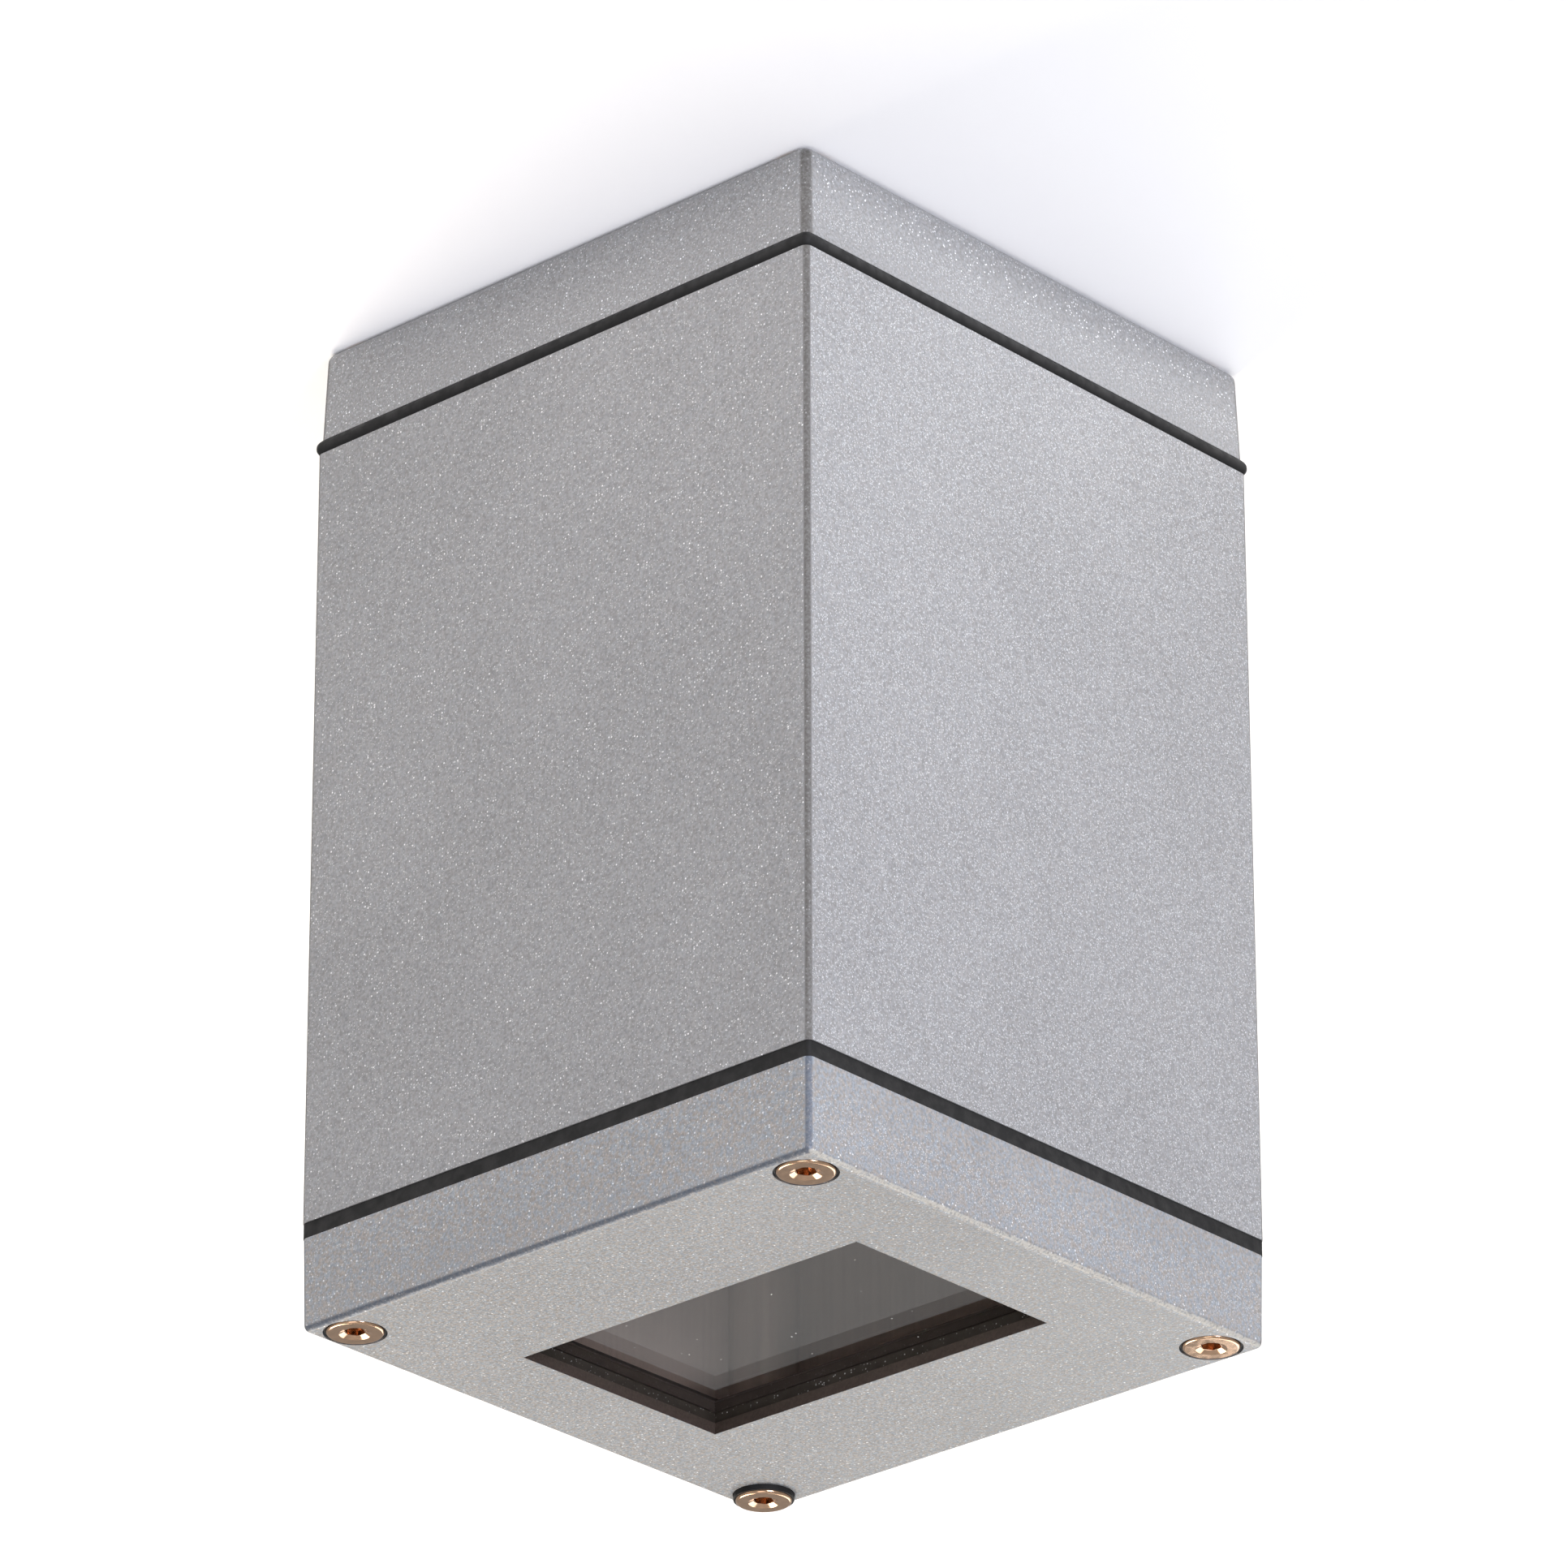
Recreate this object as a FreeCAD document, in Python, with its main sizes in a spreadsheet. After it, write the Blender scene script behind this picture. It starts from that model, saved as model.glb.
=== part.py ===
import FreeCAD, Part
import Sketcher
import math
import os
import re
from FreeCAD import Placement, Rotation, Vector

# Square outdoor lantern that hangs under a ceiling. Millimetres, +Z up. The origin is the
# centre of the face that lies against the ceiling, so the whole lantern is below it. X runs
# along the longer side of the glass.

document = FreeCAD.newDocument("square_lantern")
sheet = document.addObject("Spreadsheet::Sheet", "Sizes")
SUBPARTS = []

DIMENSIONS = {
    # outside
    "width": 110.0,
    "body_corner": 1.25,
    "base_corner": 2.0,
    "bezel_corner": 1.2,
    "gasket_corner": 0.8,
    "base_height": 16.5,
    "top_gasket_height": 2.5,
    "body_height": 138.7,
    "bottom_gasket_height": 2.7,
    "bezel_height": 15.9,
    "cap_inset": 0.15,
    "base_draft": 1.7,
    "bezel_draft": 1.0,
    "base_edge_radius": 1.8,
    "bezel_edge_radius": 1.1,
    "gasket_bulge": 0.4,
    "gasket_recess": 0.2,
    # walls and corner screws
    "body_wall": 3.0,
    "cap_wall": 3.6,
    "base_plate": 3.5,
    "bezel_plate": 4.0,
    "corner_place": 48.5,
    "port_radius": 6.0,
    "port_hole": 2.6,
    "post_radius": 5.75,
    "post_hole": 2.75,
    "sink_radius": 5.2,
    "bezel_sink": 3.35,
    "base_sink": 4.2,
    "big_shank": 2.5,
    "big_head": 4.75,
    "big_head_height": 2.75,
    "big_head_round": 0.5,
    "big_length": 25.0,
    "hex_radius": 1.74,
    "hex_depth": 1.9,
    "hex_ring": 2.6,
    "hex_ring_depth": 0.45,
    "proud_screw": 1.2,
    "seal_radius": 5.1,
    "seal_floor": 0.8,
    "seal_fit": 0.05,
    # window
    "window_long": 71.8,
    "window_short": 45.6,
    "rebate_long": 86.0,
    "rebate_short": 60.0,
    "rebate_depth": 2.0,
    "glass_long": 84.0,
    "glass_short": 58.0,
    "glass_height": 4.0,
    "glass_seal_height": 1.9,
    "glass_seal_gap": 0.8,
    "retainer_long": 84.0,
    "retainer_short": 82.0,
    "retainer_height": 2.0,
    "retainer_hole_long": 76.0,
    "retainer_hole_short": 50.0,
    "boss_long": 30.0,
    "boss_short": 35.5,
    "boss_radius": 4.0,
    # small screws
    "small_shank": 2.0,
    "small_head": 3.5,
    "small_head_height": 2.6,
    "small_length": 6.0,
    "tiny_shank": 1.25,
    "tiny_head": 2.4,
    "tiny_head_height": 1.5,
    "slot_width": 0.9,
    "slot_depth": 1.1,
    # wiring space
    "fixing_place": 38.0,
    "fixing_hole": 2.75,
    "fixing_boss": 6.0,
    "fixing_boss_height": 2.0,
    "bracket_screw_place": 30.0,
    "bracket_boss": 4.5,
    "bracket_boss_height": 4.5,
    "bracket_long": 70.0,
    "bracket_short": 20.0,
    "bracket_height": 2.0,
    "entry_long": 30.0,
    "entry_short": 34.0,
    "entry_hole": 8.0,
    "entry_bore": 4.5,
    "earth_long": -37.0,
    "earth_short": -34.0,
    "earth_boss_height": 4.0,
    "tag_height": 1.0,
    "block_long": 28.0,
    "block_short": 16.0,
    "block_height": 14.0,
    "block_middle": -28.0,
    "block_front": 29.0,
    "way_pitch": 9.0,
    "clamp_radius": 2.8,
    "clamp_bore": 1.5,
    "block_fit": 0.1,
    "wire_radius": 1.1,
    # lampholder and bulb
    "holder_radius": 22.0,
    "holder_skirt": 20.0,
    "holder_height": 50.0,
    "holder_shoulder": 22.0,
    "socket_radius": 14.6,
    "socket_top": 21.0,
    "shell_outer": 14.5,
    "shell_inner": 13.6,
    "thread_depth": 0.5,
    "thread_pitch": 3.63,
    "shell_top": 25.0,
    "contact_radius": 3.0,
    "contact_height": 2.7,
    "terminal_length": 8.0,
    "terminal_width": 6.0,
    "terminal_height": 8.0,
    "terminal_depth": 3.0,
    "terminal_fit": 0.3,
    "terminal_reach": 16.4,
    "terminal_relief": 0.9,
    "live_side": 7.0,
    "neutral_side": -10.0,
    "holder_screw_long": 8.0,
    "holder_screw_short": 5.0,
    "cap_radius": 13.2,
    "cap_sleeve": 1.2,
    "bulb_top": 34.0,
    "bulb_contact_radius": 4.5,
    "bulb_contact_height": 1.2,
    "insulator_height": 3.6,
    "bulb_cap_height": 23.4,
    "collar_height": 27.0,
    "collar_flare": 9.3,
    "globe_radius": 30.0,
    "globe_wall": 1.4,
    "collar_wall": 1.6,
}


def fill_sheet():
    for row, (alias, number) in enumerate(DIMENSIONS.items(), start=1):
        sheet.set(f"A{row}", alias)
        sheet.set(f"B{row}", str(number))
        sheet.setAlias(f"B{row}", alias)
    document.recompute()


def named(formula):
    """A formula with each dimension's name pointed at its cell in the sheet."""
    return re.sub(r"[a-z][a-z_]+", r"Sizes.\g<0>", formula)


def value(formula):
    number = sheet.evalExpression(named(formula))
    return float(getattr(number, "Value", number))


def bind(target, name, formula):
    target.setExpression(name, named(formula))


def subpart(shape, label):
    shape.Label = label
    SUBPARTS.append(shape)
    return shape


def place(target, x, y, z):
    bind(target, "Placement.Base.x", x)
    bind(target, "Placement.Base.y", y)
    bind(target, "Placement.Base.z", z)
    return target


# ---- sketches and PartDesign features ----

def new_body(label, z="0"):
    body = document.addObject("PartDesign::Body", label)
    place(body, "0", "0", z)
    return subpart(body, label)


def origin_feature(body, role):
    return next(part for part in body.Origin.OriginFeatures if part.Role == role)


def new_sketch(body, name, plane="XY_Plane", depth=None):
    sketch = body.newObject("Sketcher::SketchObject", f"{body.Label}_{name}")
    sketch.AttachmentSupport = [(origin_feature(body, plane), "")]
    sketch.MapMode = "FlatFace"
    if depth:
        bind(sketch, "AttachmentOffset.Base.z", f"-({depth})")
    return sketch


def pin(sketch, geometry, point, x, y):
    """Hold one point of the sketch at x, y from its origin."""
    for kind, formula in (("DistanceX", x), ("DistanceY", y)):
        rule = Sketcher.Constraint(kind, -1, 1, geometry, point, value(formula))
        number = sketch.addConstraint(rule)
        bind(sketch, f"Constraints[{number}]", formula)


def outline(sketch, corners):
    """Closed outline of straight lines through the corners."""
    first = sketch.GeometryCount
    ends = [Vector(value(x), value(y), 0) for x, y in corners]
    for number, start in enumerate(ends):
        sketch.addGeometry(Part.LineSegment(start, ends[(number + 1) % len(ends)]))
    for number, (x, y) in enumerate(corners):
        before = first + (number - 1) % len(corners)
        sketch.addConstraint(Sketcher.Constraint("Coincident", before, 2, first + number, 1))
        pin(sketch, first + number, 1, x, y)


def rectangle(sketch, x_size, y_size, x="0", y="0"):
    left, right = f"{x} - ({x_size}) / 2", f"{x} + ({x_size}) / 2"
    front, back = f"{y} - ({y_size}) / 2", f"{y} + ({y_size}) / 2"
    outline(sketch, [(left, front), (right, front), (right, back), (left, back)])


def circle(sketch, radius, x="0", y="0"):
    middle = Vector(value(x), value(y), 0)
    number = sketch.addGeometry(Part.Circle(middle, Vector(0, 0, 1), value(radius)))
    rule = sketch.addConstraint(Sketcher.Constraint("Radius", number, value(radius)))
    bind(sketch, f"Constraints[{rule}]", radius)
    pin(sketch, number, 3, x, y)


def pad(body, sketch, length, draft=None):
    """Material from the sketch downwards, wider at its far end when the draft is positive."""
    feature = body.newObject("PartDesign::Pad", f"{sketch.Name}_pad")
    feature.Profile = sketch
    feature.Reversed = True
    bind(feature, "Length", length)
    if draft:
        bind(feature, "TaperAngle", draft)
    document.recompute()
    return feature


def pocket(body, sketch, length=None):
    """A cut from the sketch downwards, right through when no length is given."""
    before = body.Shape.Volume
    feature = body.newObject("PartDesign::Pocket", f"{sketch.Name}_pocket")
    feature.Profile = sketch
    if length:
        bind(feature, "Length", length)
    else:
        feature.Type = 1
    document.recompute()
    if body.Shape.Volume > before - 0.01:
        raise RuntimeError(f"{feature.Name} cuts nothing")
    return feature


def four_corners(body, feature):
    pattern = body.newObject("PartDesign::PolarPattern", f"{feature.Name}_corners")
    pattern.Originals = [feature]
    pattern.Axis = (origin_feature(body, "Z_Axis"), [""])
    pattern.Angle = 360
    pattern.Occurrences = 4
    body.Tip = pattern
    document.recompute()
    return pattern


def corner_circle(body, name, radius, depth=None):
    sketch = new_sketch(body, name, depth=depth)
    circle(sketch, radius, "corner_place", "corner_place")
    return sketch


def edge_names(shape, wanted):
    return [f"Edge{number}" for number, edge in enumerate(shape.Edges, start=1) if wanted(edge)]


def is_upright(edge):
    start, end = edge.Vertexes[0].Point, edge.Vertexes[-1].Point
    return abs(start.z - end.z) > 1.0 and (start - end).Length < abs(start.z - end.z) * 1.01


def fillet(body, wanted, radius, name):
    """Rounds the edges of the body's last feature that are wanted."""
    base = body.Tip
    feature = body.newObject("PartDesign::Fillet", f"{body.Label}_{name}")
    feature.Base = (base, edge_names(base.Shape, wanted))
    bind(feature, "Radius", radius)
    document.recompute()
    return feature


def turned(label, z, corners, x="0", y="0"):
    """A body turned about its own upright axis from corners (radius, height)."""
    body = new_body(label, z)
    place(body, x, y, z)
    sketch = new_sketch(body, "profile", "XZ_Plane")
    outline(sketch, corners)
    feature = body.newObject("PartDesign::Revolution", f"{label}_turn")
    feature.Profile = sketch
    feature.ReferenceAxis = (sketch, ["V_Axis"])
    feature.Angle = 360
    document.recompute()
    return body


# ---- primitives, booleans and groups ----

def cylinder(name, radius, height, x="0", y="0", z="0"):
    shape = document.addObject("Part::Cylinder", name)
    bind(shape, "Radius", radius)
    bind(shape, "Height", height)
    return place(shape, x, y, z)


def box(name, x_size, y_size, z_size, x="0", y="0", z="0"):
    """A box centred on x, y that stands on z."""
    shape = document.addObject("Part::Box", name)
    bind(shape, "Length", x_size)
    bind(shape, "Width", y_size)
    bind(shape, "Height", z_size)
    return place(shape, f"{x} - ({x_size}) / 2", f"{y} - ({y_size}) / 2", z)


def fuse(name, shapes):
    result = document.addObject("Part::MultiFuse", name)
    result.Shapes = shapes
    return result


def cut(name, base, tools):
    result = document.addObject("Part::Cut", name)
    result.Base = base
    result.Tool = tools[0] if len(tools) == 1 else fuse(f"{name}_tools", tools)
    return result


def group(label, shapes):
    """Separate solids that share one sub-part."""
    result = document.addObject("Part::Compound", label)
    result.Links = shapes
    return subpart(result, label)


def hex_screw(name, x, y, seat, heads_down):
    """Button screw of the large size. Its head's underside is at seat."""
    head = cylinder(f"{name}_head", "big_head", "big_head_height")
    document.recompute()
    top = value("big_head_height")
    rims = [number for number, edge in enumerate(head.Shape.Edges, start=1)
            if edge.Closed and abs(edge.CenterOfMass.z - top) < 0.01]
    rounded = document.addObject("Part::Fillet", f"{name}_round")
    rounded.Base = head
    rounded.Edges = [(rims[0], value("big_head_round"), value("big_head_round"))]
    shank = cylinder(f"{name}_shank", "big_shank", "big_length", z="-big_length")
    socket = document.addObject("Part::Prism", f"{name}_socket")
    socket.Polygon = 6
    bind(socket, "Circumradius", "hex_radius")
    bind(socket, "Height", "hex_depth")
    place(socket, "0", "0", "big_head_height - hex_depth")
    ring = document.addObject("Part::Cone", f"{name}_ring")
    bind(ring, "Radius1", "hex_radius")
    bind(ring, "Radius2", "hex_ring")
    bind(ring, "Height", "hex_ring_depth")
    place(ring, "0", "0", "big_head_height - hex_ring_depth")
    screw = cut(name, fuse(f"{name}_blank", [rounded, shank]), [socket, ring])
    place(screw, x, y, seat)
    return set_over(screw, heads_down)


def set_over(screw, heads_down):
    """Turns a screw over about its seat, so that its head points down."""
    if heads_down:
        screw.Placement = Placement(screw.Placement.Base, Rotation(Vector(1, 0, 0), 180))
    return screw


def cross_screw(name, size, length, x, y, seat, heads_down=True):
    """Small cylinder-head screw with a cross recess; size is small or tiny."""
    head = cylinder(f"{name}_head", f"{size}_head", f"{size}_head_height")
    shank = cylinder(f"{name}_shank", f"{size}_shank", length, z=f"-({length})")
    low = f"{size}_head_height - slot_depth"
    bars = [box(f"{name}_bar_{n}", wide, deep, "slot_depth", z=low)
            for n, (wide, deep) in enumerate(((f"{size}_head * 1.3", "slot_width"),
                                              ("slot_width", f"{size}_head * 1.3")))]
    screw = cut(name, fuse(f"{name}_blank", [head, shank]), bars)
    place(screw, x, y, seat)
    return set_over(screw, heads_down)


# ---- heights that several sub-parts share, measured down from the ceiling ----

BODY_TOP = "base_height + top_gasket_height"
BODY_END = f"{BODY_TOP} + body_height"
BEZEL_TOP = f"{BODY_END} + bottom_gasket_height"
BEZEL_END = f"{BEZEL_TOP} + bezel_height"
GLASS_SEAT = f"{BEZEL_END} - bezel_plate + rebate_depth"
GLASS_TOP = f"{GLASS_SEAT} - glass_seal_height - glass_height"
HOLDER_TOP = "base_plate + bracket_boss_height + bracket_height"
TERMINAL_MIDDLE = "terminal_depth + terminal_fit + terminal_height / 2"
CORNERS = ((1, -1), (-1, -1), (1, 1), (-1, 1))


def signed(sign, formula):
    return formula if sign > 0 else f"-({formula})"


# ---- housing ----

def square_frame(label, top, height, outer, corner):
    """Square ring with a screw lobe in each corner, as wide as the body's wall."""
    body = new_body(label, f"-({top})")
    sketch = new_sketch(body, "outside")
    rectangle(sketch, outer, outer)
    pad(body, sketch, height)
    fillet(body, is_upright, corner, "corners")
    sketch = new_sketch(body, "inside")
    rectangle(sketch, "width - body_wall * 2", "width - body_wall * 2")
    pocket(body, sketch)
    four_corners(body, pad(body, corner_circle(body, "lobe", "port_radius"), height))
    four_corners(body, pocket(body, corner_circle(body, "hole", "port_hole")))
    return body


def make_housing():
    square_frame("top_gasket", "base_height", "top_gasket_height",
                 "width + gasket_bulge * 2", "gasket_corner")
    square_frame("body_extrusion", BODY_TOP, "body_height", "width", "body_corner")
    square_frame("bottom_gasket", BODY_END, "bottom_gasket_height",
                 "width - gasket_recess * 2", "gasket_corner")


def boss_group(body, name, radius, height, places, depth):
    sketch = new_sketch(body, name, depth=depth)
    for x, y in places:
        circle(sketch, radius, x, y)
    return pad(body, sketch, height)


def hole_group(body, name, radius, places, depth=None, length=None):
    sketch = new_sketch(body, name, depth=depth)
    for x, y in places:
        circle(sketch, radius, x, y)
    return pocket(body, sketch, length)


def make_base_cap():
    body = new_body("base_cap")
    sketch = new_sketch(body, "outside")
    slope = math.tan(math.radians(value("base_draft")))
    wide = f"width - cap_inset * 2 - base_height * {slope * 2:.4f}"
    rectangle(sketch, wide, wide)
    pad(body, sketch, "base_height", draft="base_draft")
    fillet(body, is_upright, "base_corner", "corners")
    fillet(body, lambda edge: abs(edge.CenterOfMass.z) < 0.001, "base_edge_radius", "rim")
    sketch = new_sketch(body, "inside", depth="base_plate")
    rectangle(sketch, "width - cap_wall * 2", "width - cap_wall * 2")
    pocket(body, sketch, "base_height - base_plate")
    lobe = corner_circle(body, "post", "post_radius", depth="base_plate")
    four_corners(body, pad(body, lobe, "base_height - base_plate"))
    four_corners(body, pocket(body, corner_circle(body, "hole", "post_hole")))
    four_corners(body, pocket(body, corner_circle(body, "sink", "sink_radius - 0.3"),
                              "base_sink"))
    bracket = [("bracket_screw_place", "0"), ("-bracket_screw_place", "0")]
    fixing = [("0", "fixing_place"), ("0", "-fixing_place")]
    earth = [("earth_long", "earth_short")]
    boss_group(body, "bracket_boss", "bracket_boss", "bracket_boss_height", bracket,
               "base_plate")
    boss_group(body, "fixing_boss", "fixing_boss", "fixing_boss_height", fixing,
               "base_plate")
    boss_group(body, "earth_boss", "bracket_boss", "earth_boss_height", earth,
               "base_plate")
    hole_group(body, "bracket_hole", "small_shank", bracket, "base_plate * 0.5",
               "bracket_boss_height + base_plate")
    hole_group(body, "earth_hole", "small_shank", earth, "base_plate * 0.5",
               "earth_boss_height + base_plate")
    hole_group(body, "fixing_hole", "fixing_hole", fixing)
    hole_group(body, "entry_hole", "entry_hole", [("entry_long", "entry_short")])
    screws = [(f"block_middle + way_pitch / 2 * {side}", "block_front + block_short - 3")
              for side in (-1, 1)]
    hole_group(body, "block_hole", "tiny_shank", screws, "base_plate * 0.3", "base_plate")
    return body


def make_bezel():
    body = new_body("bezel", f"-({BEZEL_TOP})")
    sketch = new_sketch(body, "outside")
    rectangle(sketch, "width - cap_inset * 2", "width - cap_inset * 2")
    pad(body, sketch, "bezel_height", draft="-bezel_draft")
    fillet(body, is_upright, "bezel_corner", "corners")
    end = -value("bezel_height")
    fillet(body, lambda edge: abs(edge.CenterOfMass.z - end) < 0.001, "bezel_edge_radius",
           "rim")
    tray = "bezel_height - bezel_plate"
    sketch = new_sketch(body, "inside")
    rectangle(sketch, "width - cap_wall * 2", "width - cap_wall * 2")
    pocket(body, sketch, tray)
    four_corners(body, pad(body, corner_circle(body, "post", "post_radius"), tray))
    four_corners(body, pocket(body, corner_circle(body, "hole", "post_hole")))
    four_corners(body, pocket(body, corner_circle(body, "sink", "sink_radius",
                                                  "bezel_height - bezel_sink"), "bezel_sink"))
    sketch = new_sketch(body, "rebate", depth=tray)
    rectangle(sketch, "rebate_long", "rebate_short")
    pocket(body, sketch, "rebate_depth")
    sketch = new_sketch(body, "window")
    rectangle(sketch, "window_long", "window_short")
    pocket(body, sketch)
    bosses = [(signed(x, "boss_long"), signed(y, "boss_short")) for x, y in CORNERS]
    rise = "glass_height + glass_seal_height - rebate_depth"
    boss_group(body, "boss", "boss_radius", rise, bosses, f"{tray} - ({rise})")
    hole_group(body, "boss_hole", "small_shank", bosses, f"{tray} - ({rise})",
               "small_length - retainer_height + 0.5")
    return body


def plate(label, top, height, x_size, y_size, hole_x=None, hole_y=None):
    body = new_body(label, f"-({top})")
    sketch = new_sketch(body, "outside")
    rectangle(sketch, x_size, y_size)
    pad(body, sketch, height)
    if hole_x:
        sketch = new_sketch(body, "inside")
        rectangle(sketch, hole_x, hole_y)
        pocket(body, sketch)
    return body


def make_window():
    plate("glass_seal", f"{GLASS_SEAT} - glass_seal_height", "glass_seal_height",
          "glass_long", "glass_short", "window_long + glass_seal_gap",
          "window_short + glass_seal_gap")
    plate("glass", GLASS_TOP, "glass_height", "glass_long", "glass_short")
    retainer = plate("glass_retainer", f"{GLASS_TOP} - retainer_height", "retainer_height",
                     "retainer_long", "retainer_short", "retainer_hole_long",
                     "retainer_hole_short")
    bosses = [(signed(x, "boss_long"), signed(y, "boss_short")) for x, y in CORNERS]
    hole_group(retainer, "screw_hole", "small_shank + 0.2", bosses)
    seat = f"-({GLASS_TOP} - retainer_height)"
    group("retainer_screws", [cross_screw(f"retainer_screw_{n}", "small", "small_length",
                                          x, y, seat, heads_down=False)
                              for n, (x, y) in enumerate(bosses)])


def seal_cup(name, x, y, seat):
    """Rubber cup round a corner screw's head. Its floor lies above seat, its rim below."""
    wall = "big_head_height - big_head_round"
    blank = cylinder(f"{name}_blank", "seal_radius", f"seal_floor + {wall}", z=f"-({wall})")
    bore = cylinder(f"{name}_bore", "post_hole", "seal_floor")
    sink = cylinder(f"{name}_sink", "big_head + seal_fit", wall, z=f"-({wall})")
    return place(cut(name, blank, [bore, sink]), x, y, seat)


def make_corner_screws():
    """Four screws hold the bezel, each in a seal cup, and four hold the base."""
    cover, seals, base = [], [], []
    for number, (x_side, y_side) in enumerate(CORNERS):
        x, y = signed(x_side, "corner_place"), signed(y_side, "corner_place")
        slack = "proud_screw" if (x_side, y_side) == (-1, 1) else "0"
        seat = f"-({BEZEL_END} - bezel_sink + seal_floor + {slack})"
        cover.append(hex_screw(f"cover_screw_{number}", x, y, seat, heads_down=True))
        seals.append(seal_cup(f"seal_cup_{number}", x, y, seat))
        base.append(hex_screw(f"base_screw_{number}", x, y, "-base_sink", heads_down=False))
    group("cover_screws", cover)
    group("screw_seals", seals)
    group("base_screws", base)


# ---- wiring space ----

def make_bracket():
    body = plate("holder_bracket", "base_plate + bracket_boss_height", "bracket_height",
                 "bracket_long", "bracket_short")
    ends = [("bracket_screw_place", "0"), ("-bracket_screw_place", "0")]
    hole_group(body, "end_hole", "small_shank + 0.2", ends)
    holder = [(signed(side, "holder_screw_long"), signed(side, "holder_screw_short"))
              for side in (1, -1)]
    hole_group(body, "holder_hole", "tiny_shank + 0.15", holder)
    group("bracket_screws", [cross_screw(f"bracket_screw_{n}", "small", "small_length + 0.5",
                                         x, y, f"-({HOLDER_TOP})")
                             for n, (x, y) in enumerate(ends)])
    group("lampholder_screws", [cross_screw(f"holder_screw_{n}", "tiny", "10", x, y,
                                            "-(base_plate + bracket_boss_height)",
                                            heads_down=False)
                                for n, (x, y) in enumerate(holder)])


def make_entry():
    turned("cable_grommet", "0", [
        ("entry_bore", "-0.2"),
        ("entry_hole - 0.1", "-0.2"),
        ("entry_hole - 0.1", "-base_plate"),
        ("entry_hole + 2", "-base_plate"),
        ("entry_hole + 2", "-base_plate - 1.6"),
        ("entry_bore + 1.5", "-base_plate - 4"),
        ("entry_bore", "-base_plate - 4"),
    ], "entry_long", "entry_short")


def make_earth():
    seat = "base_plate + earth_boss_height"
    ring = cylinder("tag_ring", "bracket_boss", "tag_height")
    tab = box("tag_tab", "4", "9", "tag_height", y="4.5")
    bore = cylinder("tag_bore", "small_shank + 0.15", "tag_height")
    tag = cut("earth_tag", fuse("tag_blank", [ring, tab]), [bore])
    place(tag, "earth_long", "earth_short", f"-({seat} + tag_height)")
    subpart(tag, "earth_tag")
    screw = cross_screw("earth_screw", "small", "small_length + 0.5", "earth_long",
                        "earth_short", f"-({seat} + tag_height)")
    subpart(screw, "earth_screw")


def way_place(number):
    return f"block_middle + way_pitch * {number}"


def make_terminal_block():
    """Three-way block with a brass clamp and a clamp screw in each way."""
    middle = "base_plate + block_height / 2 + 0.5"
    blank = box("block_blank", "block_long", "block_short", "block_height", "block_middle",
                "block_front + block_short / 2", "-(base_plate + block_height)")
    holes, clamps, screws, fixings = [], [], [], []
    for number in (-1, 0, 1):
        x = way_place(number)
        holes.append(along_y(f"way_{number + 1}", "clamp_radius + block_fit", "block_short",
                             x, "block_front", f"-({middle})"))
        holes.append(cylinder(f"way_screw_{number + 1}", "tiny_shank + block_fit",
                              "block_height / 2", x, "block_front + 6",
                              "-(base_plate + block_height)"))
        tube = along_y(f"tube_{number + 1}", "clamp_radius", "block_short - 2", x,
                       "block_front + 1", f"-({middle})")
        bore = along_y(f"tube_bore_{number + 1}", "clamp_bore", "block_short - 2", x,
                       "block_front + 1", f"-({middle})")
        thread = cylinder(f"tube_thread_{number + 1}", "tiny_shank + block_fit", "4", x,
                          "block_front + 6", f"-({middle}) - 4")
        clamps.append(cut(f"clamp_{number + 1}", tube, [bore, thread]))
        screws.append(slot_pin(f"clamp_screw_{number + 1}", x, "block_front + 6",
                               "-(base_plate + block_height) + 0.5"))
    for side in (-1, 1):
        x, y = f"block_middle + way_pitch / 2 * {side}", "block_front + block_short - 3"
        holes.append(cylinder(f"block_fixing_{side + 1}", "tiny_shank + block_fit",
                              "block_height", x, y, "-(base_plate + block_height)"))
        fixings.append(cross_screw(f"block_screw_{side + 1}", "tiny", "block_height + 2", x,
                                   y, "-(base_plate + block_height)"))
    subpart(cut("terminal_block", blank, holes), "terminal_block")
    group("terminal_clamps", clamps)
    group("terminal_screws", screws)
    group("terminal_block_screws", fixings)


def along_y(name, radius, length, x, y, z):
    shape = cylinder(name, radius, length, x, y, z)
    shape.Placement = Placement(shape.Placement.Base, Rotation(Vector(1, 0, 0), -90))
    return shape


def slot_pin(name, x, y, z):
    """Headless clamp screw with a straight slot in its lower end."""
    pin_body = cylinder(f"{name}_pin", "tiny_shank", "4.2")
    slot = box(f"{name}_slot", "tiny_shank * 2.2", "slot_width * 0.6", "slot_depth")
    return place(cut(name, pin_body, [slot]), x, y, z)


# ---- lampholder ----

def thread_corners(inner, outer, top, turns, rising):
    """Corners of a round-bottomed thread's wall, a crest and a root for each turn."""
    corners = []
    for turn in range(turns):
        crest = f"{top} - thread_pitch * {turn}"
        corners.append((inner, crest))
        corners.append((outer, f"{crest} - thread_pitch / 2"))
    return corners if rising else corners[::-1]


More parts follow.
